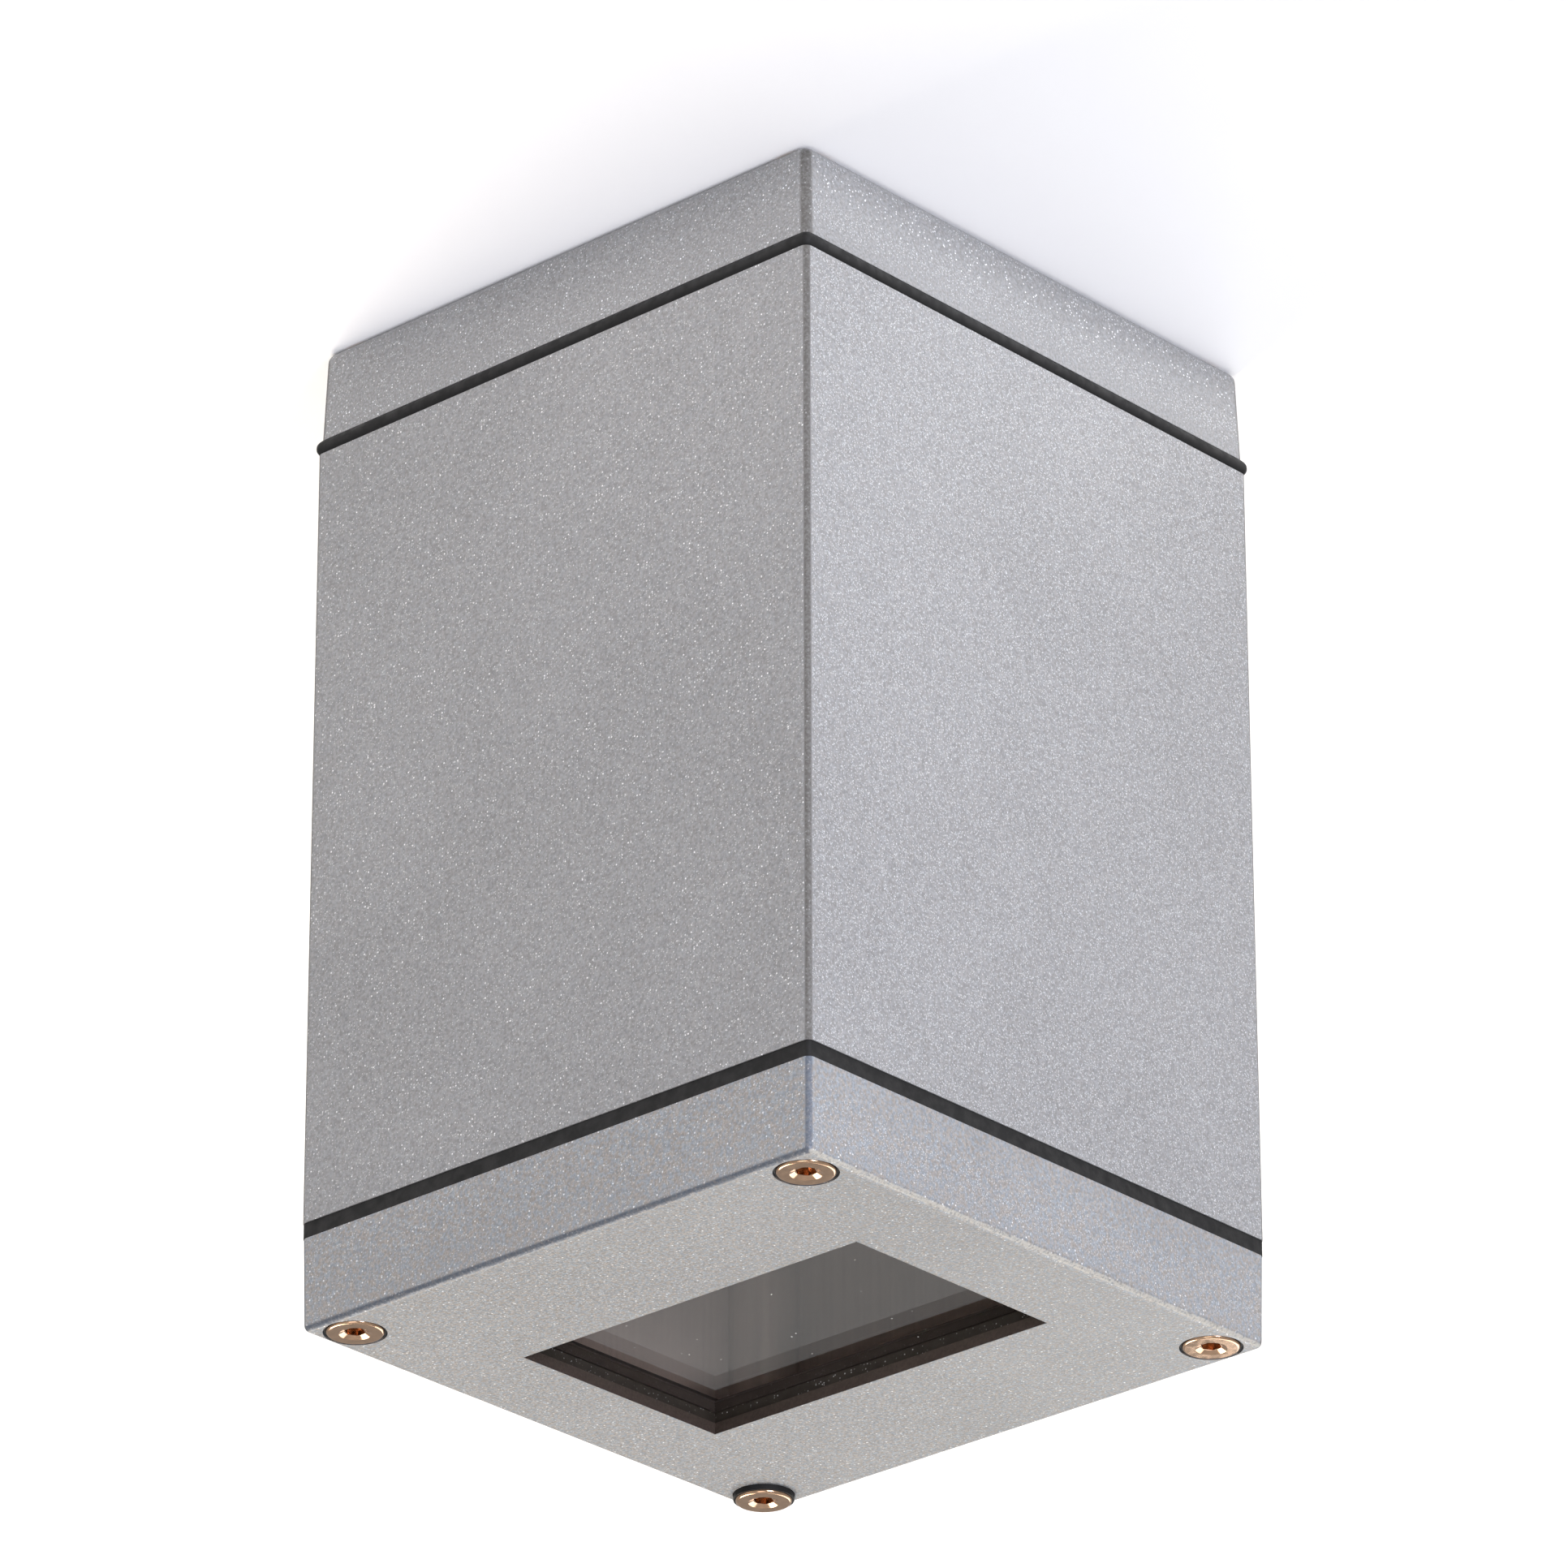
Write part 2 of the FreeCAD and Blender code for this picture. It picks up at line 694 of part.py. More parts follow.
def make_lampholder():
    body = turned("lampholder_body", f"-({HOLDER_TOP})", [
        ("0", "0"),
        ("holder_radius - 2", "0"),
        ("holder_radius", "-2"),
        ("holder_radius", "-holder_shoulder"),
        ("holder_skirt", "-holder_shoulder - 2"),
        ("holder_skirt", "-holder_height + 1.5"),
        ("holder_skirt - 1.5", "-holder_height"),
        ("socket_radius", "-holder_height"),
        ("socket_radius", "-socket_top"),
        ("0", "-socket_top"),
    ])
    wide = "terminal_width + terminal_fit * 2"
    long = "terminal_length + terminal_relief * 2 + 0.8"
    reach = "terminal_reach + terminal_relief"
    pockets = (("live_pocket", long, wide, f"-({reach})", "live_side"),
               ("neutral_pocket", wide, long, "neutral_side", reach))
    for name, x_size, y_size, x, y in pockets:
        sketch = new_sketch(body, name, depth="terminal_depth")
        rectangle(sketch, x_size, y_size, x, y)
        pocket(body, sketch, "terminal_height + terminal_fit * 2")
    holder = [(signed(side, "holder_screw_long"), signed(side, "holder_screw_short"))
              for side in (1, -1)]
    hole_group(body, "screw_hole", "tiny_shank", holder, length="9")

    turned("lampholder_shell", f"-({HOLDER_TOP})", [
        ("shell_outer", "-shell_top"),
        ("shell_outer", "-shell_top - thread_pitch * 6"),
        ("shell_inner", "-shell_top - thread_pitch * 6"),
    ] + thread_corners("shell_inner", "shell_inner + thread_depth", "-shell_top", 6, False))

    turned("lampholder_contact", f"-({HOLDER_TOP}) - socket_top", [
        ("0", "0"),
        ("contact_radius + 2", "0"),
        ("contact_radius + 2", "-0.8"),
        ("contact_radius", "-0.8"),
        ("contact_radius - 0.6", "-contact_height"),
        ("0", "-contact_height"),
    ])

    level = f"-({HOLDER_TOP}) - terminal_depth - terminal_fit - terminal_height"
    sizes = (("live", "terminal_length", "terminal_width", "-terminal_reach", "live_side"),
             ("neutral", "terminal_width", "terminal_length", "neutral_side",
              "terminal_reach"))
    blocks = []
    for name, x_size, y_size, x, y in sizes:
        blank = box(f"{name}_block", x_size, y_size, "terminal_height", x, y, level)
        blocks.append(cut(f"{name}_terminal", blank, [terminal_bore(name)]))
    group("lampholder_terminals", blocks)


def terminal_bore(name):
    """The wire's bore in a lampholder terminal, from its outer face to its middle."""
    radius, deep = "wire_radius + 0.3", "terminal_length / 2 + 0.2"
    z = f"-({HOLDER_TOP} + {TERMINAL_MIDDLE})"
    if name == "neutral":
        return along_y("neutral_bore", radius, deep, "neutral_side", "terminal_reach", z)
    shape = cylinder("live_bore", radius, deep, f"-(terminal_reach + {deep})", "live_side", z)
    shape.Placement = Placement(shape.Placement.Base, Rotation(Vector(0, 1, 0), 90))
    return shape


# ---- bulb ----

def make_bulb():
    top = "bulb_top"
    turned("bulb_contact", f"-({top})", [
        ("0", "0"),
        ("bulb_contact_radius - 1", "0"),
        ("bulb_contact_radius", "-0.6"),
        ("bulb_contact_radius", "-bulb_contact_height"),
        ("0", "-bulb_contact_height"),
    ])
    turned("bulb_insulator", f"-({top}) - bulb_contact_height", [
        ("0", "0"),
        ("bulb_contact_radius + 0.6", "0"),
        ("cap_radius - cap_sleeve - 1.4", "-insulator_height + 1"),
        ("cap_radius - cap_sleeve", "-insulator_height + 1"),
        ("cap_radius - cap_sleeve", "-insulator_height - 3"),
        ("0", "-insulator_height - 3"),
    ])
    cap_top = f"-({top}) - bulb_contact_height - insulator_height"
    turned("bulb_cap", cap_top, [
        ("cap_radius - cap_sleeve", "-bulb_cap_height"),
        ("cap_radius - cap_sleeve", "0"),
        ("cap_radius - thread_depth", "0"),
    ] + thread_corners("cap_radius - thread_depth", "cap_radius", "-0.8", 5, True) + [
        ("cap_radius - thread_depth", "-thread_pitch * 5 - 0.8"),
        ("cap_radius", "-thread_pitch * 5 - 2"),
        ("cap_radius", "-bulb_cap_height"),
    ])
    collar_top = f"{cap_top} - bulb_cap_height"
    turned("bulb_collar", collar_top, [
        ("cap_radius - cap_sleeve", "0"),
        ("cap_radius + 0.8", "0"),
        ("cap_radius + 1.4", "-1.2"),
        ("cap_radius + 2.6", "-9"),
        ("cap_radius + 5.2", "-18"),
        ("cap_radius + collar_flare", "-collar_height"),
        ("cap_radius + collar_flare - collar_wall", "-collar_height"),
        ("cap_radius + 5.2 - collar_wall", "-18"),
        ("cap_radius + 2.6 - collar_wall", "-9"),
        ("cap_radius - cap_sleeve", "-1.2"),
    ])
    make_globe(f"{collar_top} - collar_height")


def make_globe(rim):
    """Hollow ball, open where the collar's rim meets it."""
    opening = value("cap_radius + collar_flare")
    radius = value("globe_radius")
    rise = math.sqrt(radius ** 2 - opening ** 2)
    solids = []
    for name, size in (("globe_outside", "globe_radius"),
                       ("globe_inside", "globe_radius - globe_wall")):
        ball = document.addObject("Part::Sphere", name)
        bind(ball, "Radius", size)
        solids.append(place(ball, "0", "0", f"{rim} - {rise:.4f}"))
    lid = cylinder("globe_lid", "globe_radius + 1", "globe_radius", z=rim)
    subpart(cut("bulb_globe", solids[0], [solids[1], lid]), "bulb_globe")


# ---- wires ----

def bent_wire(label, points, radius):
    """A wire of straight runs joined by arcs that touch both runs."""
    points = [Vector(*point) for point in points]
    edges = []
    start = points[0]
    for before, corner, after in zip(points, points[1:], points[2:]):
        first, second = corner - before, after - corner
        shorter = min(first.Length, second.Length)
        setback = 0.45 * shorter
        into = corner - first.normalize() * setback
        out = corner + second.normalize() * setback
        turn = first.getAngle(second)
        bend = setback / math.tan(turn / 2)
        inward = (second - first).normalize()
        centre = corner + inward * (bend / math.cos(turn / 2))
        middle = centre - inward * bend
        edges.append(Part.LineSegment(start, into).toShape())
        edges.append(Part.Arc(into, middle, out).toShape())
        start = out
        print(label, "bend radius", round(bend, 1))
    edges.append(Part.LineSegment(start, points[-1]).toShape())
    path = Part.Wire(edges)
    heading = edges[0].tangentAt(edges[0].FirstParameter)
    section = Part.Wire([Part.Circle(points[0], heading, radius).toShape()])
    solid = path.makePipeShell([section], True, False)
    expected = math.pi * radius ** 2 * path.Length
    if abs(solid.Volume - expected) > 0.01 * expected:
        raise RuntimeError(f"{label} is not the volume of its path")
    feature = document.addObject("Part::Feature", label)
    feature.Shape = solid
    feature.Placement = Placement()
    return subpart(feature, label)


def make_wires():
    radius = value("wire_radius")
    entry = value("block_front") + 3
    way = [value(way_place(number)) for number in (-1, 0, 1)]
    way_z = -value("base_plate + block_height / 2 + 0.5")
    holder_z = -value(f"{HOLDER_TOP} + {TERMINAL_MIDDLE}")
    live_side, neutral_side = value("live_side"), value("neutral_side")
    wire_end = value("terminal_reach") + 2
    tag_z = -value("base_plate + earth_boss_height + tag_height") - radius
    bent_wire("earth_wire", [
        (way[0], entry, way_z),
        (way[0], 20, way_z - 1),
        (way[0] - 3, 3, way_z - 3),
        (way[0] - 1.5, -14, way_z - 1),
        (way[0], value("earth_short") + 7, tag_z),
    ], radius)
    bent_wire("live_wire", [
        (way[1], entry, way_z),
        (way[1], 22, way_z - 1),
        (way[1] - 1.5, 11, way_z - 4),
        (way[1] + 1, live_side, holder_z),
        (-wire_end, live_side, holder_z),
    ], radius)
    bent_wire("neutral_wire", [
        (way[2], entry, way_z),
        (way[2], 27, way_z - 1),
        (way[2] + 7, 24.5, holder_z + 2),
        (neutral_side, wire_end + 3.5, holder_z),
        (neutral_side, wire_end, holder_z),
    ], radius)


# ---- the whole lantern ----

def check_document():
    for item in document.Objects:
        if "Invalid" in item.State or "Error" in item.State:
            raise RuntimeError(f"{item.Name} failed: {item.State}")
    for item in SUBPARTS:
        if item.Shape.isNull() or not item.Shape.isValid() or not item.Shape.Solids:
            raise RuntimeError(f"{item.Label} has no valid solid")


def main():
    fill_sheet()
    make_base_cap()
    make_housing()
    make_bezel()
    make_window()
    make_corner_screws()
    make_bracket()
    make_entry()
    make_earth()
    make_terminal_block()
    make_lampholder()
    make_bulb()
    make_wires()
    document.recompute()
    check_document()
    os.makedirs("parts", exist_ok=True)
    for item in SUBPARTS:
        item.Shape.exportStep(f"parts/{item.Label}.step")
    print(len(SUBPARTS), "sub-parts written")


main()
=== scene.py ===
import math

import bmesh
import bpy
from mathutils import Matrix, Vector, noise


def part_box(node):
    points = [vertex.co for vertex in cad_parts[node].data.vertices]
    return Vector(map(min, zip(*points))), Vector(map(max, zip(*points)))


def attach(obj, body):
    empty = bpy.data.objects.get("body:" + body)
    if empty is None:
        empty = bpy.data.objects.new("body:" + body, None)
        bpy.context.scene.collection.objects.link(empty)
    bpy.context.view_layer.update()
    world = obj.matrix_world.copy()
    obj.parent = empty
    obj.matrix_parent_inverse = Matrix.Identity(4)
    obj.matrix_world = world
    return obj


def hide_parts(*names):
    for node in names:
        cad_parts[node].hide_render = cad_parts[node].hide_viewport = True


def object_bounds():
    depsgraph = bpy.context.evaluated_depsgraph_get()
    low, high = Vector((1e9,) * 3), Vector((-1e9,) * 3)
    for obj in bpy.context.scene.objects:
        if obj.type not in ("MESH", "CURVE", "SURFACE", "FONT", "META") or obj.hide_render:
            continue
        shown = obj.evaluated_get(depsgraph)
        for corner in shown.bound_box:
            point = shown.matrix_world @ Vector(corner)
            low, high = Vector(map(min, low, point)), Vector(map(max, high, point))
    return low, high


# Looks of a square ceiling lantern: camera, stage, lights, materials, the soft outer edge of its
# upper gasket and the threads of its cover screws. Metres, in the CAD's frame: the ceiling is at
# z = 0 and the lantern hangs below it.

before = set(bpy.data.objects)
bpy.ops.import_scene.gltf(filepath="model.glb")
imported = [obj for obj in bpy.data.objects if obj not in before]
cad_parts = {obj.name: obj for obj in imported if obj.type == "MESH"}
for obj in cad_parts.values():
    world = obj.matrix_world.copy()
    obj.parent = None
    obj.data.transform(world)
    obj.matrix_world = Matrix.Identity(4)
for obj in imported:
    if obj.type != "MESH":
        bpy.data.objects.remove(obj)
cad_bounds = [list(corner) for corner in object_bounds()]
LOW, HIGH = (Vector(corner) for corner in cad_bounds)
MIDDLE = (LOW + HIGH) / 2
MM = 0.001
CORNERS = ((1, 1), (-1, 1), (-1, -1), (1, -1))
BODY_INNER_HALF = 52.0 * MM
WINDOW_HALF_LONG = 35.9 * MM
WINDOW_HALF_SHORT = 22.8 * MM
SCREW_AXIS = 48.5 * MM
LOW_SCREW_CORNER = (-1, 1)
LOW_SCREW_DROP = 1.2 * MM
THREAD_PITCH = 0.8 * MM
THREAD_LENGTH = 22.5 * MM
BARE_TIP = 0.6 * MM
LOBE_RADIUS = 6.0 * MM
LOBE_HOLE = 2.6 * MM
CEILING_HALF = 0.9
CEILING_GAP = 0.2 * MM
FLOOR_HALF = 12.0
FLOOR_LEVEL = -1.9


# ---- camera ----

def make_camera():
    """Camera below the lantern, looking up at its near corner through a long lens."""
    azimuth, elevation, roll = (math.radians(a) for a in (42.13, 25.34, -0.095))
    distance = 1.5768
    aim = Vector((0.0028, -0.0029, -0.0797))
    forward = Vector((-math.sin(azimuth) * math.cos(elevation),
                      math.cos(azimuth) * math.cos(elevation), math.sin(elevation)))
    right = forward.cross(Vector((0, 0, 1))).normalized()
    right = Matrix.Rotation(-roll, 3, forward) @ right
    up = right.cross(forward)
    data = bpy.data.cameras.new("camera")
    data.sensor_width = 36.0
    data.lens = 220.83
    data.clip_end = 100.0
    camera = bpy.data.objects.new("camera", data)
    bpy.context.scene.collection.objects.link(camera)
    place = Matrix((right, up, -forward)).transposed().to_4x4()
    place.translation = aim - forward * distance
    camera.matrix_world = place
    bpy.context.scene.camera = camera


# ---- material helpers ----

class Look:
    """A material under construction: its shader and short calls for the nodes it uses."""

    def __init__(self, name):
        self.material = bpy.data.materials.new(name)
        self.material.use_nodes = True
        self.tree = self.material.node_tree
        self.shader = self.tree.nodes["Principled BSDF"]
        self.place = self.tree.nodes.new("ShaderNodeTexCoord").outputs["Object"]

    @classmethod
    def reopen(cls, material):
        """More work on a finished material."""
        look = cls.__new__(cls)
        look.material = material
        look.tree = material.node_tree
        look.shader = look.tree.nodes["Principled BSDF"]
        look.place = look.tree.nodes["Texture Coordinate"].outputs["Object"]
        return look

    def node(self, kind, **settings):
        made = self.tree.nodes.new("ShaderNode" + kind)
        for name, setting in settings.items():
            setattr(made, name, setting)
        return made

    def feed(self, socket, source):
        """Link a socket to another, or give it a number or colour."""
        if isinstance(source, bpy.types.NodeSocket):
            self.tree.links.new(source, socket)
        else:
            socket.default_value = source

    def math(self, operation, *sources, clamp=False):
        made = self.node("Math", operation=operation, use_clamp=clamp)
        for socket, source in zip(made.inputs, sources):
            self.feed(socket, source)
        return made.outputs[0]

    def noise(self, size, detail=2.0, place=None):
        """Smooth noise whose lumps are about size metres wide."""
        made = self.node("TexNoise")
        self.feed(made.inputs["Vector"], place or self.place)
        made.inputs["Scale"].default_value = 1.0 / size
        made.inputs["Detail"].default_value = detail
        return made.outputs["Fac"]

    def cells(self, size):
        """Random cells about size metres wide: their colour and the distance to their middle."""
        made = self.node("TexVoronoi")
        self.feed(made.inputs["Vector"], self.place)
        made.inputs["Scale"].default_value = 1.0 / size
        return made.outputs["Color"], made.outputs["Distance"]

    def split(self, vector):
        made = self.node("SeparateXYZ")
        self.feed(made.inputs[0], vector)
        return made.outputs

    def span(self, value, low, high, bottom=0.0, top=1.0):
        """Value from low..high taken smoothly to bottom..top."""
        made = self.node("MapRange", interpolation_type="SMOOTHSTEP")
        for name, source in (("Value", value), ("From Min", low), ("From Max", high),
                             ("To Min", bottom), ("To Max", top)):
            self.feed(made.inputs[name], source)
        return made.outputs["Result"]

    def mix(self, share, first, second):
        made = self.node("Mix", data_type="RGBA")
        self.feed(made.inputs["Factor"], share)
        for socket, source in ((made.inputs["A"], first), (made.inputs["B"], second)):
            self.feed(colour_socket(made, socket.name), source)
        return made.outputs[2]

    def multiply(self, first, second):
        made = self.node("Mix", data_type="RGBA", blend_type="MULTIPLY")
        made.inputs["Factor"].default_value = 1.0
        for socket, source in ((made.inputs["A"], first), (made.inputs["B"], second)):
            self.feed(colour_socket(made, socket.name), source)
        return made.outputs[2]

    def bump(self, height, depth, strength, before=None):
        made = self.node("Bump")
        made.inputs["Distance"].default_value = depth
        made.inputs["Strength"].default_value = strength
        self.feed(made.inputs["Height"], height)
        if before:
            self.feed(made.inputs["Normal"], before)
        return made.outputs["Normal"]

    def finish(self, colour, roughness, normal=None, **constants):
        """Wire the shader up. Constants go straight onto its own sockets."""
        self.feed(self.shader.inputs["Base Color"], colour)
        self.feed(self.shader.inputs["Roughness"], roughness)
        if normal:
            self.feed(self.shader.inputs["Normal"], normal)
        for name, setting in constants.items():
            self.shader.inputs[name.replace("_", " ")].default_value = setting
        return self.material

    def see_through(self, share):
        """Make the finished material clear where share is 1."""
        blend = self.node("MixShader")
        self.feed(blend.inputs[0], share)
        self.feed(blend.inputs[1], self.shader.outputs[0])
        self.feed(blend.inputs[2], self.node("BsdfTransparent").outputs[0])
        self.feed(self.tree.nodes["Material Output"].inputs["Surface"], blend.outputs[0])
        return self.material


def colour_socket(mix_node, name):
    """The colour input of a Mix node that has that name."""
    return next(s for s in mix_node.inputs if s.name == name and s.type == "RGBA")


def grey(level, warmth=0.0):
    return (level * (1 + warmth), level, level * (1 - warmth), 1.0)


def shade_of(tone, level):
    """A tone of three numbers as a colour, made lighter or darker."""
    return (*(level * share for share in tone), 1.0)


def new_object(name, mesh, material):
    data = bpy.data.meshes.new(name)
    mesh.to_mesh(data)
    mesh.free()
    data.materials.append(material)
    made = bpy.data.objects.new(name, data)
    bpy.context.scene.collection.objects.link(made)
    return made


# ---- materials ----

def flakes(look, size, share, inner, outer):
    """How much a metal flake covers each point, with a random number for its tint."""
    random_colour, reach = look.cells(size)
    pick, tint, _ = look.split(random_colour)
    cover = look.math("MULTIPLY", look.span(pick, 1 - share, 1.0),
                      look.span(reach, inner, outer, 1.0, 0.0))
    return cover, tint


def edge_masks(look):
    """Where the painted edge shade and highlight go: its upright corners, its -Y lower rim and
    its +X lower rim.
    """
    x, y, z = look.split(look.node("NewGeometry").outputs["Normal"])
    upright = look.math("ABSOLUTE", look.math("MULTIPLY", x, y))
    front = look.math("MULTIPLY", y, z)
    side = look.math("MULTIPLY", look.math("MULTIPLY", x, z), -1.0)
    return [look.span(upright, 0.12, 0.42), look.span(front, 0.12, 0.42),
            look.span(side, 0.28, 0.47)]


def coat(name, level, grain, sparkle, chroma, edge_shade_tone, inner_half=None):
    """Silver-grey metallic powder coat: fine mottled grey with small bright flakes.

    Painted shade darkens the upright corners and the -Y lower rim towards the edge shade tone,
    and a painted cream highlight lights the +X lower rim. Within inner_half of the axis the bare
    extruded aluminium shows instead.
    """
    look = Look(name)
    fine = look.noise(grain, 3.0)
    cloud = look.noise(45 * MM, 2.0)
    patch = look.noise(grain * 1.7, 2.0)
    shade = look.math("ADD", look.span(fine, 0.25, 0.75, 0.0, 0.86),
                      look.span(cloud, 0.3, 0.7, 0.0, 0.14))
    base = look.mix(shade, grey(level * 0.68, 0.004), grey(level * 1.20, -0.004))
    warm = look.mix(look.span(patch, 0.3, 0.7), grey(1.0 - chroma * 0.4, chroma),
                    grey(1.0, -chroma))
    base = look.multiply(base, warm)
    small, tint = flakes(look, 0.34 * MM, 0.5, 0.15, 0.45)
    shine = look.mix(tint, grey(level * 1.9, 0.03), grey(level * 2.2, -0.05))
    colour = look.mix(look.math("MULTIPLY", small, sparkle), base, shine)
    large, tint = flakes(look, 0.62 * MM, 0.34, 0.10, 0.33)
    shine = look.mix(tint, grey(level * 3.0, 0.02), grey(level * 3.3, -0.04))
    colour = look.mix(look.math("MULTIPLY", large, sparkle), colour, shine)
    # Painted shade: upright corners and the -Y lower rim darkened towards the edge shade tone,
    # where less light falls.
    upright, front, side = edge_masks(look)
    painted_edge_shade = look.math("MULTIPLY", look.math("ADD", upright, front, clamp=True),
                     look.span(fine, 0.3, 0.6, 0.5, 0.9))
    colour = look.mix(painted_edge_shade, colour, shade_of(edge_shade_tone, level))
    # Painted highlight: a cream line along the +X lower rim, where the warm light falls.
    painted_rim_highlight = look.math("MULTIPLY", look.math("MULTIPLY", side, look.span(fine, 0.2, 0.6)), 0.75)
    colour = look.mix(painted_rim_highlight, colour, shade_of((1.9, 1.8, 1.55), level))
    rough = look.span(fine, 0.3, 0.7, 0.44, 0.58)
    normal = look.bump(look.noise(0.5 * MM, 2.0), 0.06 * MM, 0.4)
    if inner_half:
        inside, bare = bare_metal(look, inner_half)
        colour = look.mix(inside, colour, bare)
        rough = look.math("SUBTRACT", rough, look.math("MULTIPLY", inside, 0.16))
    return look.finish(colour, rough, normal, Metallic=0.35)


def bare_metal(look, half):
    """A mask of what lies within half of the axis, and drawn aluminium's streaked colour."""
    x, y, _ = look.split(look.place)
    reach = look.math("MAXIMUM", look.math("ABSOLUTE", x), look.math("ABSOLUTE", y))
    inside = look.span(reach, half + 0.3 * MM, half + 0.6 * MM, 1.0, 0.0)
    stretched = look.node("Mapping")
    look.feed(stretched.inputs["Vector"], look.place)
    stretched.inputs["Scale"].default_value = (1.0, 1.0, 0.02)
    streak = look.noise(0.8 * MM, 3.0, place=stretched.outputs[0])
    bare = look.mix(streak, (0.30, 0.235, 0.20, 1.0), (0.44, 0.36, 0.31, 1.0))
    return inside, bare


def rubber(name, level, warmth, dust_share=0.0):
    """Black rubber, dull, with pale dust specks where it lies open."""
    look = Look(name)
    colour = look.mix(look.noise(3 * MM, 3.0), grey(level * 0.6, warmth),
                      grey(level * 1.4, warmth))
    if dust_share:
        dust, _ = flakes(look, 0.35 * MM, dust_share, 0.15, 0.5)
        colour = look.mix(dust, colour, grey(0.45, 0.02))
    normal = look.bump(look.noise(0.6 * MM, 3.0), 0.06 * MM, 0.5)
    return look.finish(colour, look.span(look.noise(2 * MM), 0.3, 0.7, 0.45, 0.7), normal,
                       Specular_IOR_Level=0.22)


def clear_glass():
    """Clear float glass with a little dust and a few faint smears. Lamps shine through it."""
    look = Look("window_glass")
    random_colour, reach = look.cells(1.5 * MM)
    pick = look.split(random_colour)[0]
    dust = look.math("MULTIPLY", look.span(pick, 0.93, 0.97),
                     look.span(reach, 0.04, 0.13, 1.0, 0.0))
    colour = look.mix(dust, (0.95, 0.94, 0.92, 1.0), grey(0.9))
    smear = look.span(look.noise(12 * MM, 4.0), 0.45, 0.75, 0.0, 0.04)
    rough = look.math("ADD", smear, look.math("MULTIPLY", dust, 0.6))
    look.feed(look.shader.inputs["Transmission Weight"],
              look.math("SUBTRACT", 1.0, dust, clamp=True))
    look.finish(colour, rough, IOR=1.5)
    return look.see_through(look.node("LightPath").outputs["Is Shadow Ray"])


def metal(name, level, warmth, rough):
    """Bare or plated metal with fine cloudy wear."""
    look = Look(name)
    wear = look.noise(1.6 * MM, 4.0)
    colour = look.mix(wear, grey(level * 0.86, warmth), grey(level * 1.08, warmth))
    normal = look.bump(look.noise(0.4 * MM, 3.0), 0.01 * MM, 0.4)
    return look.finish(colour, look.span(wear, 0.3, 0.7, rough * 0.75, rough * 1.3), normal,
                       Metallic=1.0)


def turned_steel(name, tone, rough):
    """Stainless screws with faint turning rings about each of four corner axes, tinted
    copper-brown as a painted warm reflection.
    """
    look = Look(name)
    x, y, _ = look.split(look.place)
    across = look.math("SUBTRACT", look.math("ABSOLUTE", x), SCREW_AXIS)
    along = look.math("SUBTRACT", look.math("ABSOLUTE", y), SCREW_AXIS)
    radius = look.math("SQRT", look.math("ADD", look.math("POWER", across, 2.0),
                                         look.math("POWER", along, 2.0)))
    rings = look.math("SINE", look.math("MULTIPLY", radius, 2 * math.pi / (0.16 * MM)))
    wear = look.noise(1.2 * MM, 3.0)
    colour = look.mix(wear, shade_of(tone, 0.85), shade_of(tone, 1.1))
    normal = look.bump(rings, 0.003 * MM, 0.2)
    normal = look.bump(look.noise(0.5 * MM, 2.0), 0.01 * MM, 0.08, before=normal)
    return look.finish(colour, look.span(wear, 0.3, 0.7, rough * 0.7, rough * 1.4), normal,
                       Metallic=1.0)


def zinc(name):
    """Zinc-plated sheet with soft spangle."""
    look = Look(name)
    random_colour, reach = look.cells(3.5 * MM)
    shade = look.split(random_colour)[0]
    colour = look.mix(shade, grey(0.42, -0.02), grey(0.62, -0.02))
    normal = look.bump(look.noise(0.8 * MM, 3.0), 0.02 * MM, 0.4)
    return look.finish(colour, look.span(shade, 0.0, 1.0, 0.3, 0.5), normal, Metallic=0.9)


def porcelain():
    look = Look("porcelain")
    speck = look.span(look.noise(0.7 * MM, 2.0), 0.68, 0.78)
    body = look.mix(look.noise(9 * MM, 2.0), (0.80, 0.79, 0.74, 1.0), (0.88, 0.87, 0.83, 1.0))
    colour = look.mix(look.math("MULTIPLY", speck, 0.35), body, (0.45, 0.38, 0.30, 1.0))
    normal = look.bump(look.noise(4 * MM, 2.0), 0.05 * MM, 0.3)
    return look.finish(colour, look.span(look.noise(3 * MM), 0.3, 0.7, 0.18, 0.3), normal,
                       Coat_Weight=0.5, Coat_Roughness=0.08)


def plastic(name, dark, light, rough, **constants):
    """Moulded plastic with a fine eroded grain."""
    look = Look(name)
    colour = look.mix(look.noise(6 * MM, 3.0), (*dark, 1.0), (*light, 1.0))
    normal = look.bump(look.noise(0.5 * MM, 3.0), 0.02 * MM, 0.4)
    return look.finish(colour, look.span(look.noise(2 * MM), 0.3, 0.7, rough * 0.85,
                                         rough * 1.15), normal, **constants)


def striped_insulation():
    """Green wire insulation with a yellow stripe along its upper and lower sides."""
    look = Look("green_yellow_insulation")
    normal = look.node("NewGeometry").outputs["Normal"]
    side = look.math("ABSOLUTE", look.split(normal)[2])
    stripe = look.span(side, 0.62, 0.70)
    colour = look.mix(stripe, (0.02, 0.22, 0.04, 1.0), (0.72, 0.62, 0.03, 1.0))
    tint = look.mix(look.math("MULTIPLY", look.noise(1.5 * MM), 0.15), colour, grey(0.1))
    bump = look.bump(look.noise(0.5 * MM), 0.01 * MM, 0.4)
    return look.finish(tint, look.span(look.noise(2 * MM), 0.3, 0.7, 0.35, 0.5), bump)


